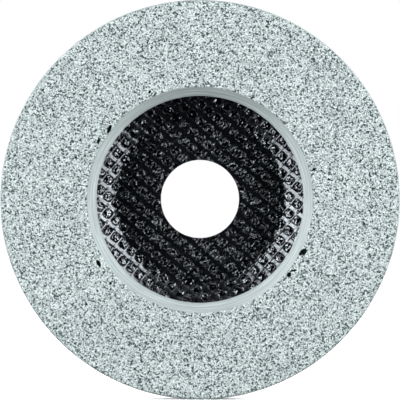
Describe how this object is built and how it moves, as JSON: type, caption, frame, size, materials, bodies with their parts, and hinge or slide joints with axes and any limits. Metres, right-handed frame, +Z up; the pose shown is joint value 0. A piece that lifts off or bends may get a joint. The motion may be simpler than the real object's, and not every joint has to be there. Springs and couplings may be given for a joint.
{
  "type": "angle grinder fine grinding disc",
  "caption": "Depressed-centre grinding disc with a thick elastic-bonded abrasive ring on a dished glass-mesh backing plate with a plain spindle bore.",
  "frame": {"origin": "on the disc's axis, at the machine-side face where the grinder's flange seats", "axes": "+Y along the spindle axis towards the machine, so the working face looks along -Y; +Z up in the picture, +X to the right"},
  "size_m": [0.1134, 0.0143, 0.1134],
  "materials": {
    "bonded_abrasive": "granular pale grey-green bonded grain with open pores",
    "mesh_laminate": "glossy black phenolic resin over woven glass mesh",
    "core_laminate": "black phenolic laminate, cut edge",
    "adhesive": "dark cured adhesive film",
    "label_paper": "blank uncoated paper"
  },
  "bodies": {
    "root": {"label_disc": "label_paper", "hub_mesh_ply": "mesh_laminate", "back_mesh_ply": "mesh_laminate", "rear_core_ply": "core_laminate", "front_core_ply": "core_laminate", "front_mesh_ply": "mesh_laminate", "bond_layer": "adhesive", "abrasive_ring": "bonded_abrasive"}
  },
  "joints": []
}
